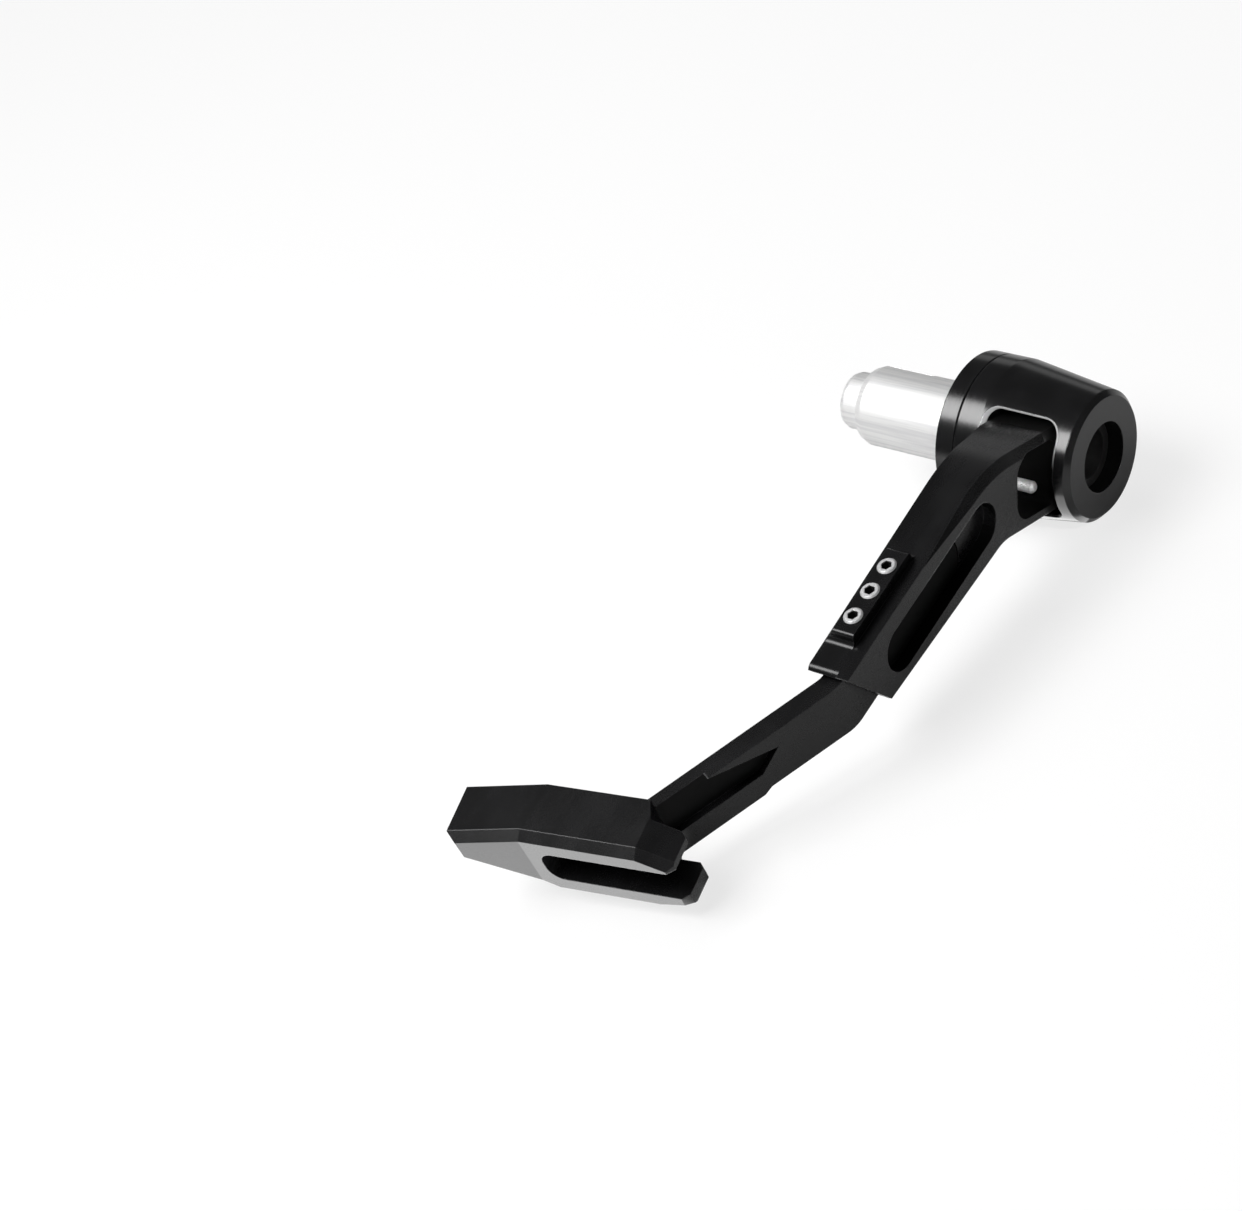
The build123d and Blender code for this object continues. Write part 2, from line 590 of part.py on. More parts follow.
def trimmed(body, frame, depth, start, slope, side):
    """Cut a sloped face with its front and rear bevels on the upper (+1) or lower (-1) side of the foot."""
    edge_z = ARM_MIDDLE_Z + side * ARM_HEIGHT / 2
    along = Vector(cos(radians(slope)), 0, -side * sin(radians(slope)))
    front = Vector(start, -depth, edge_z - side * FOOT_BEVEL_DOWN)
    rear = Vector(start, 0, edge_z - side * FOOT_REAR_EDGE)
    cuts = [
        (front, Vector(0, FOOT_BEVEL_FORWARD, side * FOOT_BEVEL_DOWN)),
        (rear, Vector(0, FOOT_REAR_EDGE, -side * FOOT_REAR_EDGE)),
    ]
    if slope:
        cuts.append((Vector(start, 0, edge_z), Vector(0, 1, 0)))
    for point, slant in cuts:
        outward = side * along.cross(slant)
        origin = frame.from_local_coords(point)
        facing = frame.from_local_coords(point + outward) - origin
        body = split(body, Plane(origin=origin, z_dir=facing), keep=Keep.BOTTOM)
    return body


def foot_turn():
    """Front end of the line where the foot's nose turns away from its jaws, in the foot's plan."""
    return -FOOT_DEPTH * tan(radians(NOSE_TURN / 2)), -FOOT_DEPTH


def foot_jaws():
    """Straight part of the foot: a rear web and the block that the jaws are cut from."""
    outline = face_of(
        (0, 0),
        (FOOT_WEB_LENGTH, 0),
        (FOOT_WEB_LENGTH + FOOT_WEB_STEP, -FOOT_WEB),
        (JAW_LENGTH - JAW_REAR_CORNER, -FOOT_WEB),
        (JAW_LENGTH, -FOOT_WEB - JAW_REAR_CORNER),
        (JAW_LENGTH, -FOOT_DEPTH + JAW_CORNER),
        (JAW_LENGTH - JAW_CORNER, -FOOT_DEPTH),
        foot_turn(),
    )
    jaws = extrude(FOOT_PLANE.offset(ARM_LOW_Z) * outline, ARM_HEIGHT)
    for side, slope in ((1, JAW_TOP_SLOPE), (-1, JAW_LOW_SLOPE)):
        jaws = trimmed(jaws, FOOT_PLANE, FOOT_DEPTH, 0, 0, side)
        jaws = trimmed(jaws, FOOT_PLANE, FOOT_DEPTH, JAW_SLOPE_START, slope, side)
    return jaws


def foot_nose():
    """Solid nose of the foot, turned forward."""
    turn_in, turn_on = sin(radians(NOSE_TURN)), cos(radians(NOSE_TURN))
    lean_in, lean_on = sin(radians(NOSE_END_LEAN)), cos(radians(NOSE_END_LEAN))
    end_rear = (-NOSE_LENGTH * turn_on, -NOSE_LENGTH * turn_in)
    end_width = NOSE_DEPTH / cos(radians(NOSE_TURN - NOSE_END_LEAN))
    end_front = (end_rear[0] + end_width * lean_in, end_rear[1] - end_width * lean_on)
    outline = chamfer(near(face_of((0, 0), foot_turn(), end_front, end_rear), (*end_front, 0)), NOSE_CORNER)
    nose = extrude(FOOT_PLANE.offset(ARM_LOW_Z) * outline, ARM_HEIGHT)
    for side in (1, -1):
        nose = trimmed(nose, NOSE_PLANE, NOSE_DEPTH, 0, 0, side)
    return nose


def whole_foot():
    """Jaws and nose in one, with an underside that rises to the nose's end."""
    foot = foot_jaws() + foot_nose()
    return trimmed(foot, NOSE_PLANE, NOSE_DEPTH, NOSE_UNDER_START, -NOSE_UNDER_SLOPE, -1)


def guard_tip():
    """Tip piece: tongue, blade and slotted foot, milled from one bar."""
    tip = tongue_and_blade() - blade_groove() + whole_foot()
    slot_length = JAW_LENGTH - FOOT_SLOT_START + PAST + FOOT_SLOT_CORNER
    slot = RectangleRounded(slot_length, FOOT_SLOT_HEIGHT, FOOT_SLOT_CORNER)
    slot = FOOT_FRONT * Pos(FOOT_SLOT_START + slot_length / 2, ARM_MIDDLE_Z) * slot
    return tip - extrude(slot, FOOT_WEB - FOOT_DEPTH)


PIECES = {
    "expander_plug": expander_plug,
    "wedge_nut": wedge_nut,
    "base_ring": base_ring,
    "bar_end_cap": bar_end_cap,
    "pivot_bush": pivot_bush,
    "stop_pin": stop_pin,
    "clamp_bolt": clamp_bolt,
    "bolt_washer": bolt_washer,
    "guard_arm": guard_arm,
    "arm_set_screws": arm_set_screws,
    "guard_tip": guard_tip,
}

os.makedirs("parts", exist_ok=True)
for name, make in PIECES.items():
    export_step(make(), f"parts/{name}.step")
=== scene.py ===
from math import cos, pi, radians, sin

import bpy
from mathutils import Matrix, Vector


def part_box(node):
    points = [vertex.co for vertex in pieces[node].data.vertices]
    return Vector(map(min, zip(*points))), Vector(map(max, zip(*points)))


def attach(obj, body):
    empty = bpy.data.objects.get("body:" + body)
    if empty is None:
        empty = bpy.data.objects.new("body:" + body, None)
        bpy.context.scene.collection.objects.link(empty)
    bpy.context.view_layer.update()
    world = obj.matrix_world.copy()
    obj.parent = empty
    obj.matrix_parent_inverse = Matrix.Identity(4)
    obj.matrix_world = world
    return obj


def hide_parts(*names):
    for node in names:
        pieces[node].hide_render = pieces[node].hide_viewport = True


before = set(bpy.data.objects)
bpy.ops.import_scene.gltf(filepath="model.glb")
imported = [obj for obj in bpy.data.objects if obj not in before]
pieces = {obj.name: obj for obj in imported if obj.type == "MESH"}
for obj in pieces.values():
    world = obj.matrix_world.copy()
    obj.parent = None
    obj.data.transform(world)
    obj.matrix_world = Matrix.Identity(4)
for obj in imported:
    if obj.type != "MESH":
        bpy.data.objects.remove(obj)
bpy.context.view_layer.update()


# Expander plug: a slit sleeve of bare aluminium, turned on a lathe, that grips the inside of the bar.
# Drawing it in and out of bar ends has left soft streaks along its length, over the turning rings.
MM = 0.001
PLUG_BRIGHT = (0.95, 0.95, 0.945)
PLUG_STREAK = (0.80, 0.80, 0.805)
PLUG_EDGE = (0.96, 0.96, 0.955)


class Wire:
    """A value in a finish, with the arithmetic that adds Math nodes."""

    def __init__(self, finish, socket):
        self.finish = finish
        self.socket = socket

    def math(self, operation, first, second):
        return self.finish.math(operation, first, second)

    def __add__(self, other):
        return self.math("ADD", self, other)

    def __radd__(self, other):
        return self.math("ADD", other, self)

    def __sub__(self, other):
        return self.math("SUBTRACT", self, other)

    def __rsub__(self, other):
        return self.math("SUBTRACT", other, self)

    def __mul__(self, other):
        return self.math("MULTIPLY", self, other)

    def __rmul__(self, other):
        return self.math("MULTIPLY", other, self)

    def __truediv__(self, other):
        return self.math("DIVIDE", self, other)

    def __rtruediv__(self, other):
        return self.math("DIVIDE", other, self)

    def __pow__(self, other):
        return self.math("POWER", self, other)

    def __rpow__(self, other):
        return self.math("POWER", other, self)

    def __abs__(self):
        return self.math("ABSOLUTE", self, 0.0)

    def at_least(self, other):
        """The larger of two values, which joins two masks."""
        return self.math("MAXIMUM", self, other)

    def ramp(self, low, high):
        """0 below low, 1 above high and a smooth step between them."""
        sockets = {"Value": self, "From Min": low, "From Max": high}
        return self.finish.node("ShaderNodeMapRange", {"interpolation_type": "SMOOTHSTEP"}, sockets)

    def above(self, limit, fade):
        """A mask of 1 above the limit, reached over the fade."""
        return (self - limit).ramp(0.0, fade)

    def below(self, limit, fade):
        """A mask of 1 below the limit, reached over the fade."""
        return (limit - self).ramp(0.0, fade)

    def between(self, low, high, fade):
        """A mask of 1 between two limits, reached over the fade at each."""
        return self.above(low, fade) * self.below(high, fade)


class Finish:
    """A material: its nodes, and the Principled shader that they feed."""

    def __init__(self, name, **shader):
        self.material = bpy.data.materials.new(name)
        self.material.use_nodes = True
        self.tree = self.material.node_tree
        self.shader = self.tree.nodes["Principled BSDF"]
        self.skin = Wire(self, self.shader.outputs[0])
        self.surface(**shader)
        self.place = self.node("ShaderNodeTexCoord", output="Object")
        self.x, self.y, self.z = (self.part_of(self.place, axis) for axis in "XYZ")

    def feed(self, node, sockets):
        for key, value in sockets.items():
            socket = node.inputs[key]
            if isinstance(value, Wire):
                self.tree.links.new(value.socket, socket)
            elif socket.type == "RGBA":
                socket.default_value = (*value, 1.0)
            else:
                socket.default_value = value

    def node(self, kind, settings=None, sockets=None, output=0):
        node = self.tree.nodes.new(kind)
        for name, value in (settings or {}).items():
            setattr(node, name, value)
        self.feed(node, sockets or {})
        return Wire(self, node.outputs[output])

    def math(self, operation, first, second):
        return self.node("ShaderNodeMath", {"operation": operation}, {0: first, 1: second})

    def part_of(self, vector, axis):
        return self.node("ShaderNodeSeparateXYZ", sockets={0: vector}, output=axis)

    def surface(self, **sockets):
        """Sets or links the shader's sockets, named with _ for a blank."""
        self.feed(self.shader, {name.replace("_", " "): value for name, value in sockets.items()})

    def show(self, shader):
        self.feed(self.tree.nodes["Material Output"], {"Surface": shader})

    def noise(self, place, scale, detail):
        return self.node("ShaderNodeTexNoise", sockets={"Vector": place, "Scale": scale, "Detail": detail})

    def cloud(self, size, detail=2.0):
        """Soft random patches about size across, in metres."""
        return self.noise(self.place, 1.0 / size, detail)

    def marks(self, x, y, z, detail):
        """Random marks, one to each unit of the three values, so stretched where a value changes slowly."""
        return self.noise(self.node("ShaderNodeCombineXYZ", sockets={0: x, 1: y, 2: z}), 1.0, detail)

    def blend(self, share, first, second):
        """A colour that goes from the first to the second as the share goes from 0 to 1."""
        # A Mix node has its colours at inputs 6 and 7 and at output 2.
        return self.node("ShaderNodeMix", {"data_type": "RGBA"}, {0: share, 6: first, 7: second}, 2)

    def rounded(self, radius):
        """The surface's direction with its edges rounded over."""
        return self.node("ShaderNodeBevel", {"samples": 6}, {"Radius": radius})

    def edges(self, radius, low, high):
        """1 along the sharp edges, falling to 0 within about the radius."""
        flat = self.node("ShaderNodeNewGeometry", output="Normal")
        sockets = {0: self.rounded(radius), 1: flat}
        turn = self.node("ShaderNodeVectorMath", {"operation": "DOT_PRODUCT"}, sockets, "Value")
        return (1 - turn).ramp(low, high)

    def bump(self, height, depth, strength, normal=None):
        sockets = {"Height": height, "Distance": depth, "Strength": strength}
        if normal:
            sockets["Normal"] = normal
        return self.node("ShaderNodeBump", sockets=sockets)

    def facing(self, axis):
        """How far the surface faces along one of the part's axes, from -1 to 1."""
        flat = self.node("ShaderNodeNewGeometry", output="True Normal")
        settings = {"vector_type": "NORMAL", "convert_to": "OBJECT"}
        return self.part_of(self.node("ShaderNodeVectorTransform", settings, {0: flat}), axis)

    def wear(self, name):
        """Puts the finish on a piece of the part."""
        piece = pieces[name]
        if not piece.material_slots:
            piece.data.materials.append(self.material)
        for slot in piece.material_slots:
            slot.material = self.material


def from_bar(finish):
    """Distance from the bar axis."""
    return (finish.y * finish.y + finish.z * finish.z) ** 0.5


def about_bar(finish):
    """Angle about the bar axis, in radians."""
    return finish.math("ARCTAN2", finish.z, finish.y)


bare = Finish("bare_aluminium", Metallic=0.72)
out, angle = from_bar(bare), about_bar(bare)
streaks = bare.marks(bare.x * 45, angle * 9, out * 300, detail=4.0)
rings = bare.marks(bare.x * 9000, out * 9000, angle * 1.5, detail=2.0)
rubbed = bare.edges(radius=0.5 * MM, low=0.03, high=0.3)
grey = bare.blend(streaks.ramp(0.35, 0.7), PLUG_BRIGHT, PLUG_STREAK)
bare.surface(
    Base_Color=bare.blend(rubbed, grey, PLUG_EDGE),
    Roughness=0.50 + streaks * 0.14 + rings * 0.06,
    Normal=bare.bump(rings, depth=0.012 * MM, strength=0.35, normal=bare.rounded(0.25 * MM)),
)
bare.wear("expander_plug")


# Wedge nut: a cone of the same bare aluminium inside the plug's end, its nose standing out.
# The clamp bolt draws it in and so spreads the plug. It is turned too, and wears the plug's finish.
bare.wear("wedge_nut")


# Base ring: a black anodised aluminium flange between the bar's end and the cap.
# Turned, so fine rings run around the bar axis under the anodising.
BLACK = (0.0040, 0.0040, 0.0043)
HAZE = (0.0075, 0.0075, 0.0080)
RUBBED = (0.05, 0.05, 0.052)


def turned_black(name):
    """Black anodising on a turned piece, with rings about the bar axis and rubbed edges."""
    finish = Finish(name, IOR=1.55)
    out, angle = from_bar(finish), about_bar(finish)
    rings = finish.marks(finish.x * 5200, out * 5200, angle * 1.2, detail=3.0)
    bands = finish.marks(finish.x * 900, out * 900, angle * 0.8, detail=2.0)
    mottle = finish.cloud(7 * MM, detail=4.0)
    edge = finish.edges(radius=0.35 * MM, low=0.02, high=0.25)
    hazy = finish.blend(mottle.ramp(0.4, 0.75), BLACK, HAZE)
    finish.tone = finish.blend(edge * mottle.ramp(0.25, 0.6), hazy, RUBBED)
    lathe = rings + bands * 0.6
    finish.surface(
        Base_Color=finish.tone,
        Roughness=0.13 + bands * 0.06 + rings * 0.06 + edge * 0.05,
        Normal=finish.bump(lathe, depth=0.010 * MM, strength=0.5, normal=finish.rounded(0.22 * MM)),
    )
    return finish


turned_black("ring_black_anodised").wear("base_ring")


# Bar end cap: a turned, tapered block of aluminium with a window milled for the arm's root.
# It has the ring's finish. The window's rim was cut after the anodising, so it is bare metal; it is
# whitened only on its upper side, a painted highlight.
# Inside the window and the bore a painted shade darkens the surface.
CAP_SHOULDER = 9.3 * MM
CAP_SLOPE = 0.139
CAP_SKIN = 0.9 * MM
CAP_END_SKIN = 0.3 * MM
WINDOW_FROM, WINDOW_TO = 9.6 * MM, 27.0 * MM
RIM_TURNS_IN = 0.95
RIM_LOWEST, RIM_FADE = 7.0 * MM, 4.0 * MM
RIM_METAL_AND_HIGHLIGHT = (0.9, 0.9, 0.9)
# Painted shade: a near-black, dull surface laid over recesses and hollows.
PAINTED_SHADE = (0.002, 0.002, 0.002)
PAINTED_SHADE_SHEEN = 0.12


def paint_shade(finish, mask, roughness):
    """Lays a painted shade, a near-black dull surface, over the finish where the mask is 1."""
    sockets = {"Base Color": PAINTED_SHADE, "Roughness": roughness, "Specular IOR Level": PAINTED_SHADE_SHEEN}
    shade_surface = finish.node("ShaderNodeBsdfPrincipled", sockets=sockets)
    finish.show(finish.node("ShaderNodeMixShader", sockets={0: mask, 1: finish.skin, 2: shade_surface}))


cap_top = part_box("bar_end_cap")[1]
cap_black = turned_black("cap_black_anodised")
out = from_bar(cap_black)
taper = (cap_black.x - CAP_SHOULDER).at_least(0.0) * CAP_SLOPE
inside = out.below(cap_top.z - CAP_SKIN - taper, fade=0.15 * MM)
inside = inside * cap_black.x.below(cap_top.x - CAP_END_SKIN, fade=0.1 * MM)
outward = (cap_black.facing("Y") * cap_black.y + cap_black.facing("Z") * cap_black.z) / out
# The bare rim is whitened only above RIM_LOWEST, on its upper side: partly bare metal, partly a painted
# highlight.
rim = outward.below(RIM_TURNS_IN, fade=0.04) * cap_black.x.between(WINDOW_FROM, WINDOW_TO, fade=0.1 * MM)
rim = rim * (1 - inside) * cap_black.z.above(RIM_LOWEST, RIM_FADE)
cap_black.surface(Base_Color=cap_black.blend(rim, cap_black.tone, RIM_METAL_AND_HIGHLIGHT), Metallic=rim * 0.4)
# Painted shade inside the window and the bore.
paint_shade(cap_black, inside, roughness=0.7)
cap_black.wear("bar_end_cap")


# Pivot bush: a matt black sleeve in the cap's bore, on which the arm's eye turns.
# Its moulded skin is fine grained and a little polished where the eye rubs.
BUSH_MATT = (0.009, 0.009, 0.009)
BUSH_RUBBED = (0.016, 0.016, 0.016)
matt = Finish("matt_black_bush", IOR=1.45)
grain = matt.cloud(0.12 * MM, detail=3.0)
rub = matt.cloud(4 * MM)
matt.surface(
    Base_Color=matt.blend(rub.ramp(0.4, 0.7), BUSH_MATT, BUSH_RUBBED),
    Roughness=0.62 - rub * 0.16,
    Normal=matt.bump(grain, depth=0.02 * MM, strength=0.4),
)
matt.wear("pivot_bush")


# Stop pin: a length of bright threaded rod that crosses the window behind the arm's root.
# Its rolled thread has a half-millimetre pitch and rounded crests, and its free end is chamfered.
STEEL_BRIGHT = (0.95, 0.95, 0.95)
STEEL_STAIN = (0.86, 0.86, 0.87)
steel = Finish("bright_steel", Metallic=0.4)
scuffs = steel.cloud(0.6 * MM, detail=4.0)
stain = steel.cloud(3 * MM, detail=3.0)
steel.surface(
    Base_Color=steel.blend(stain.ramp(0.35, 0.75), STEEL_BRIGHT, STEEL_STAIN),
    Roughness=0.30 + scuffs * 0.16,
    Normal=steel.bump(scuffs, depth=0.008 * MM, strength=0.4),
)
steel.wear("stop_pin")

PIN_PITCH = 0.5 * MM
PIN_THREAD_DEPTH = 0.10 * MM
PIN_TIP = 0.6 * MM
PIN_STEPS = 8
PIN_SIDES = 32
low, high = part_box("stop_pin")
pin_radius = (high.y - low.y) / 2
pin_end = Vector((high.x, (low.y + high.y) / 2, (low.z + high.z) / 2))
points, faces = [], []
rows = int((high.x - low.x) / PIN_PITCH * PIN_STEPS)
for row in range(rows + 1):
    x = low.x + (high.x - low.x) * row / rows
    for side in range(PIN_SIDES):
        turn = 2 * pi * side / PIN_SIDES
        wave = 0.5 - 0.5 * cos(2 * pi * (x / PIN_PITCH) - turn)
        radius = min(pin_radius - PIN_THREAD_DEPTH * wave, pin_radius - PIN_TIP + high.x - x)
        points.append((x, pin_end.y + radius * cos(turn), pin_end.z + radius * sin(turn)))
for row in range(rows):
    for side in range(PIN_SIDES):
        after = (side + 1) % PIN_SIDES
        here, there = row * PIN_SIDES, (row + 1) * PIN_SIDES
        faces.append((here + side, here + after, there + after, there + side))
faces.append(tuple(range(PIN_SIDES))[::-1])
faces.append(tuple(rows * PIN_SIDES + side for side in range(PIN_SIDES)))
shape = bpy.data.meshes.new("stop_pin_thread")
shape.from_pydata(points, [], faces)
shape.shade_smooth()
pin = bpy.data.objects.new("stop_pin_thread", shape)
bpy.context.collection.objects.link(pin)
shape.materials.append(steel.material)
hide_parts("stop_pin")
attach(pin, "mount_body")


# Clamp bolt: an M6 socket screw of blackened steel, deep in the bush.
# The black has worn to bright steel on the edges of its head and socket.
BOLT_BLACK = (0.035, 0.035, 0.037)
BOLT_WORN = (0.55, 0.55, 0.56)
oxide = Finish("blackened_steel", Metallic=0.85)
worn = oxide.edges(radius=0.4 * MM, low=0.03, high=0.3)
smudge = oxide.cloud(1.2 * MM, detail=4.0)
oxide.surface(
    Base_Color=oxide.blend(worn * smudge.ramp(0.2, 0.55), BOLT_BLACK, BOLT_WORN),
    Roughness=0.32 + smudge * 0.2 - worn * 0.08,
    Normal=oxide.bump(smudge, depth=0.006 * MM, strength=0.3, normal=oxide.rounded(0.2 * MM)),
)
oxide.wear("clamp_bolt")


# Bolt washer: a plain punched steel washer under the bolt's head.
# It has the stop pin's bright finish.
steel.wear("bolt_washer")


# Guard arm: milled from aluminium bar and black anodised, with a satin skin.
# Handling shows as faint patches, and the sharp corners have rubbed to a dark grey.
# The slot, the opening in the root and the eye inside the cap get a painted shade, a near-black dull
# surface.
def milled_black(name):
    """Black anodising on a milled piece, with its fine grain, smears and rubbed edges."""
    finish = Finish(name, IOR=1.42)
    grain = finish.cloud(0.16 * MM)
    mottle = finish.cloud(9 * MM, detail=4.0)
    smear = finish.marks(finish.x * 160, finish.y * 40, finish.z * 160, detail=3.0)
    edge = finish.edges(radius=0.3 * MM, low=0.02, high=0.22)
    hazy = finish.blend((mottle * 0.6 + smear * 0.4).ramp(0.4, 0.65), BLACK, HAZE)
    finish.surface(
        Base_Color=finish.blend(edge * mottle.ramp(0.25, 0.6), hazy, RUBBED),
        Roughness=0.19 + smear * 0.10 + grain * 0.06,
        Normal=finish.bump(grain, depth=0.006 * MM, strength=0.3, normal=finish.rounded(0.2 * MM)),
    )
    return finish


ROOT_ANGLE = radians(28.5)
OPENING_HALF = 7.3 * MM
OPENING_END = 26.0 * MM
SLOT_LOW, SLOT_HIGH = 9.7 * MM, 20.3 * MM
SLOT_FRONT, SLOT_BACK = -70.0 * MM, -30.0 * MM
EYE_REACH = 16.4 * MM
CUT_WALL_FACING = 0.6
arm_black = milled_black("arm_black_anodised")
cut_wall = abs(arm_black.facing("X")).below(CUT_WALL_FACING, fade=0.1)
along_root = arm_black.z * sin(ROOT_ANGLE) - arm_black.y * cos(ROOT_ANGLE)
above_root = arm_black.z * cos(ROOT_ANGLE) + arm_black.y * sin(ROOT_ANGLE)
opening = above_root.between(-OPENING_HALF, OPENING_HALF, fade=0.2 * MM)
opening = opening * along_root.below(OPENING_END, fade=0.5 * MM)
slot = arm_black.z.between(SLOT_LOW, SLOT_HIGH, fade=0.2 * MM)
slot = slot * arm_black.y.between(SLOT_FRONT, SLOT_BACK, fade=0.5 * MM)
in_cap = from_bar(arm_black).below(EYE_REACH, fade=1.6 * MM)
# Painted shade in the slot, in the root opening and over the eye inside the cap.
paint_shade(arm_black, in_cap.at_least(cut_wall * opening.at_least(slot)), roughness=0.6)
arm_black.wear("guard_arm")


# Set screws: three M4 grub screws of bright steel that press on the tongue.
# Their hex sockets carry a painted shade below the mouth.
SOCKET_MOUTH = 0.25 * MM
SCREW_BRIGHT = (0.86, 0.86, 0.86)
SCREW_SCUFFED = (0.62, 0.62, 0.63)
SOCKET_SHADE = (0.03, 0.03, 0.03)
screw_steel = Finish("set_screw_steel", Metallic=0.6)
screw_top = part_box("arm_set_screws")[1]
# Painted shade in the hex sockets, below their mouths.
deep = screw_steel.z.below(screw_top.z - SOCKET_MOUTH, fade=0.1 * MM)
scuffs = screw_steel.cloud(0.5 * MM, detail=4.0)
bright = screw_steel.blend(scuffs.ramp(0.3, 0.7), SCREW_BRIGHT, SCREW_SCUFFED)
screw_steel.surface(
    Base_Color=screw_steel.blend(deep, bright, SOCKET_SHADE),
    Roughness=0.34 + scuffs * 0.14 + deep * 0.3,
    Normal=screw_steel.bump(scuffs, depth=0.006 * MM, strength=0.4, normal=screw_steel.rounded(0.12 * MM)),
)
screw_steel.wear("arm_set_screws")


# Guard tip: tongue, bent blade and slotted foot in one milled piece, black anodised like the arm.
# It slides in the arm's channel. The tongue and the blade's pocket get a painted shade, a near-black dull
# surface.
BLADE_ANGLE = radians(26.3)
BLADE_X, BLADE_Y = 22.0 * MM, -80.1 * MM
POCKET_SHALLOW, POCKET_DEEP = 0.4 * MM, 2.2 * MM
POCKET_BACK = -84.0 * MM
TONGUE_FRONT = -69.0 * MM
tip_black = milled_black("tip_black_anodised")
blade_depth = (tip_black.y - BLADE_Y) * sin(BLADE_ANGLE) - (tip_black.x - BLADE_X) * cos(BLADE_ANGLE)
blade_side = tip_black.facing("X") * cos(BLADE_ANGLE) - tip_black.facing("Y") * sin(BLADE_ANGLE)
pocket = blade_side.ramp(0.9, 0.97) * tip_black.y.below(POCKET_BACK, fade=0.5 * MM)
pocket = pocket * blade_depth.between(POCKET_SHALLOW, POCKET_DEEP, fade=0.2 * MM)
tongue = tip_black.y.above(TONGUE_FRONT, fade=1.0 * MM)
# Painted shade on the tongue and in the blade's pocket.
paint_shade(tip_black, tongue.at_least(pocket), roughness=0.6)
tip_black.wear("guard_tip")


# Floor: a plain white sheet that the part lies on, so a little askew in the part's own frame.
# The camera sees it white with the part's shadow, and the part mirrors it as grey.
FLOOR_SIZE = 8.0
FLOOR_FACES = Vector((-0.1, 0.18, 0.98)).normalized()
FLOOR_POINT = Vector((20.0, 0.0, -18.0)) * MM
FLOOR_GLOW = 0.76
FLOOR_MIRRORED = 0.15
SHEET_WHITE = (0.95, 0.95, 0.95)
SHEET_GREY = (0.55, 0.55, 0.55)
WHITE = (1.0, 1.0, 1.0)
bpy.ops.mesh.primitive_plane_add(size=FLOOR_SIZE, location=FLOOR_POINT)
floor = bpy.context.object
floor.name = "floor"
floor.rotation_euler = FLOOR_FACES.to_track_quat("Z", "Y").to_euler()


def rays(finish):
    """1 for the camera's own rays, and 1 for those that were mirrored or passed through something."""
    kinds = ("Is Camera Ray", "Is Glossy Ray", "Is Transmission Ray")
    seen, glossy, through = (finish.node("ShaderNodeLightPath", output=kind) for kind in kinds)
    return seen, glossy + through


sheet = Finish("white_sheet", Roughness=0.8)
seen, mirrored = rays(sheet)
pulp = sheet.cloud(0.4) * 0.02
sheet.surface(Base_Color=sheet.blend(seen - pulp, SHEET_GREY, SHEET_WHITE))
glow = sheet.node("ShaderNodeEmission", sockets={"Color": WHITE, "Strength": 1.0})
shine = seen * FLOOR_GLOW + mirrored * FLOOR_MIRRORED
sheet.show(sheet.node("ShaderNodeMixShader", sockets={0: shine, 1: sheet.skin, 2: glow}))
floor.data.materials.append(sheet.material)


# Light: one strip softbox over the front, a faint card behind, a broad fill and a dim room.
# The strip makes the bright band along the turned cap. Two small cards that lie on the floor
# light the foot's front and the cap's underside, and a narrow snoot picks out the stop pin.
CAP_MIDDLE = Vector((15.0, 0.0, 0.0)) * MM
PART_MIDDLE = Vector((10.0, -40.0, 8.0)) * MM
CARD_LIFT = 0.5 * MM
SNOOT_FROM = Vector((0.62, -0.30, 0.72)) * 0.5
ROOM_GLOW = 0.06
ROOM_MIRRORED = 0.03


def softbox(name, place, aim, along, length, width, radiance):
    """A rectangular lamp at a place, turned to its aim, with its length set along a direction."""
    lamp = bpy.data.lights.new(name, "AREA")
    lamp.shape = "RECTANGLE"
    lamp.size = length
    lamp.size_y = width
    lamp.energy = radiance * length * width * pi
    back = (place - aim).normalized()
    across = (along - back * along.dot(back)).normalized()
    box = bpy.data.objects.new(name, lamp)
    turn = Matrix((across, back.cross(across), back)).transposed()
    box.matrix_world = Matrix.Translation(place) @ turn.to_4x4()
    bpy.context.collection.objects.link(box)
    return box


def floor_card(name, x, y, along, length, width, radiance):
    """A lamp that lies on the floor, faces up and isn't seen by the camera."""
    place = Vector((x, y, 0.0))
    fall = (place - FLOOR_POINT).to_2d().dot(FLOOR_FACES.to_2d()) / FLOOR_FACES.z
    place.z = FLOOR_POINT.z - fall + CARD_LIFT
    card = softbox(name, place, place + FLOOR_FACES, along, length, width, radiance)
    card.visible_camera = False


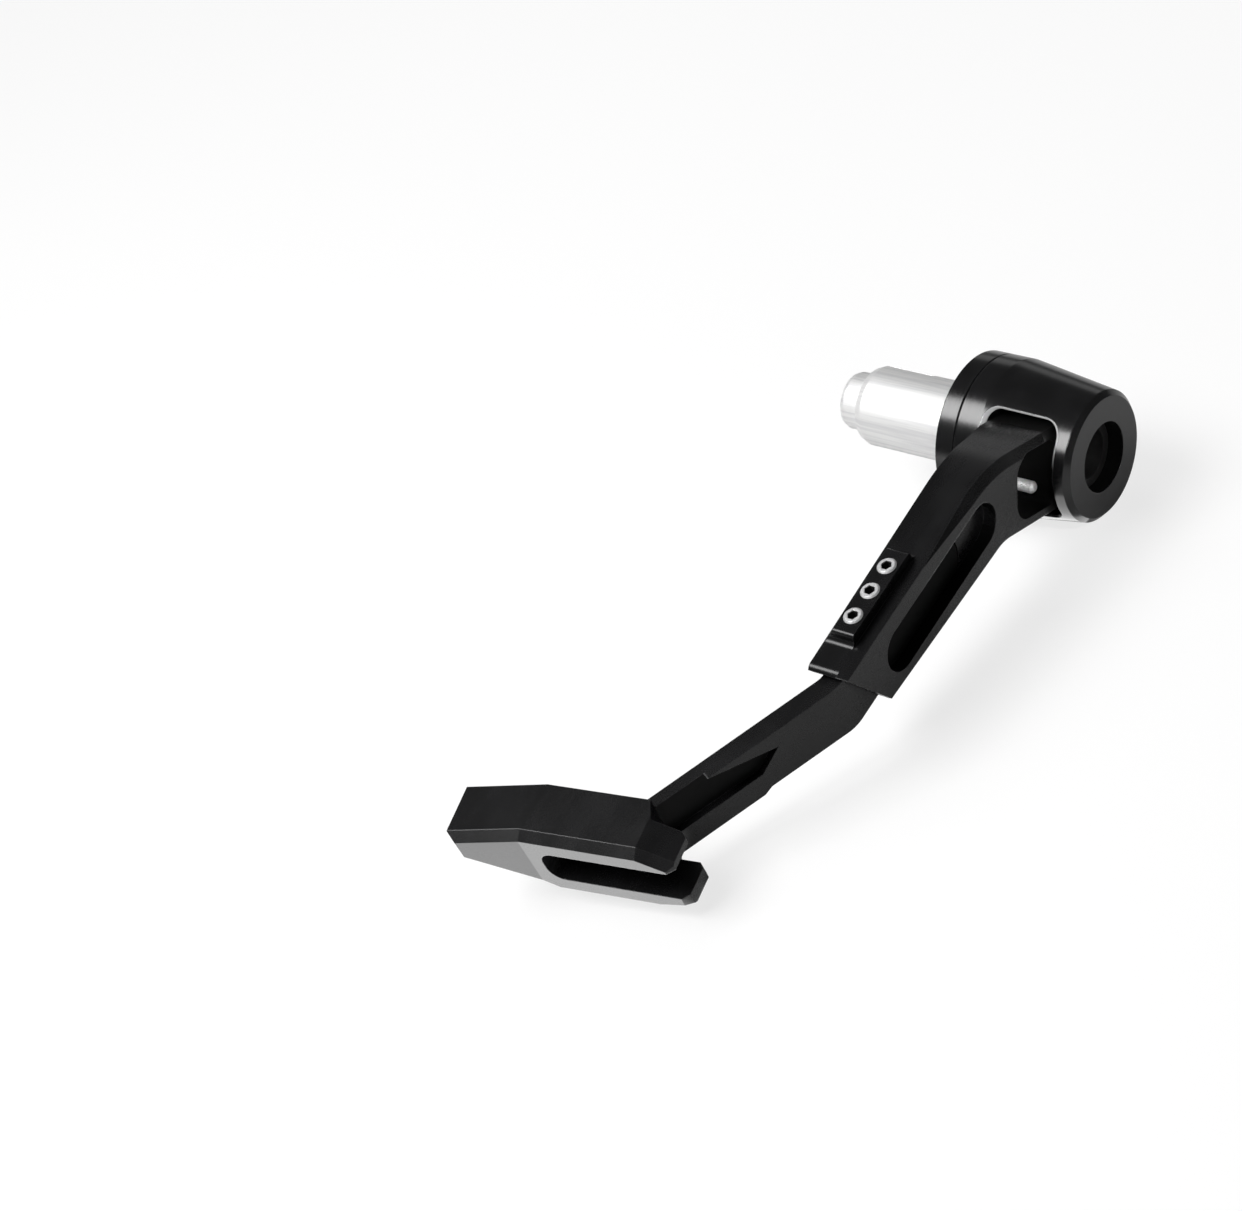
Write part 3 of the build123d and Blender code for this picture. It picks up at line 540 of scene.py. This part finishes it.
softbox(
    "strip", place=Vector((-0.272, -0.282, 0.699)), aim=CAP_MIDDLE,
    along=Vector((0.783, -0.606, 0.148)), length=0.57, width=0.38, radiance=10.5,
)
softbox(
    "back_card", place=Vector((-0.6, 0.8, 0.06)), aim=CAP_MIDDLE,
    along=Vector((0.8, 0.6, 0.0)), length=0.9, width=0.25, radiance=0.45,
)
floor_card(
    "foot_card", x=-32.0 * MM, y=-150.0 * MM,
    along=Vector((1.0, 0.15, 0.0)), length=0.10, width=0.05, radiance=3.2,
)
floor_card(
    "cap_card", x=18.0 * MM, y=-24.0 * MM,
    along=Vector((1.0, 0.0, 0.0)), length=0.026, width=0.03, radiance=1.8,
)
fill = softbox(
    "fill", place=Vector((-1.2, 0.7, 1.44)), aim=PART_MIDDLE,
    along=Vector((0.5, 0.86, 0.0)), length=1.2, width=1.2, radiance=2.2,
)
fill.visible_camera = False
fill.visible_glossy = False

beam = bpy.data.lights.new("snoot", "SPOT")
beam.energy = 40.0
beam.spot_size = radians(1.5)
beam.spot_blend = 0.3
beam.shadow_soft_size = 0.02
snoot = bpy.data.objects.new("snoot", beam)
snoot.location = pin_end + SNOOT_FROM
snoot.rotation_euler = SNOOT_FROM.to_track_quat("Z", "Y").to_euler()
bpy.context.collection.objects.link(snoot)


class Room(Finish):
    """The world around the part, made with the same nodes as a finish."""

    def __init__(self, name):
        self.world = bpy.data.worlds.new(name)
        self.world.use_nodes = True
        self.tree = self.world.node_tree
        self.shader = self.tree.nodes["Background"]


room = Room("room")
seen, mirrored = rays(room)
room.surface(Color=WHITE, Strength=seen * (1 - ROOM_GLOW) + mirrored * ROOM_MIRRORED + ROOM_GLOW)
bpy.context.scene.world = room.world


# Camera: above the front and outboard side, rolled as the photograph is.
# Its place, aim, roll and lens were fitted to the part in the photograph.
CAMERA_PLACE = Vector((321.1, -310.9, 430.3)) * MM
CAMERA_LOOKS_AT = Vector((-46.66, -67.34, 5.0)) * MM
CAMERA_ROLL = radians(-29.62)
CAMERA_LENS = 86.96
CAMERA_FILM = 36
view = bpy.data.cameras.new("camera")
view.sensor_fit = "HORIZONTAL"
view.sensor_width = CAMERA_FILM
view.lens = CAMERA_LENS
view.clip_start = 0.01
camera = bpy.data.objects.new("camera", view)
bpy.context.collection.objects.link(camera)
turn = (CAMERA_LOOKS_AT - CAMERA_PLACE).to_track_quat("-Z", "Y").to_matrix()
turn = turn @ Matrix.Rotation(CAMERA_ROLL, 3, "Z")
camera.matrix_world = Matrix.Translation(CAMERA_PLACE) @ turn.to_4x4()
bpy.context.scene.camera = camera
bpy.context.scene.view_settings.view_transform = "Standard"
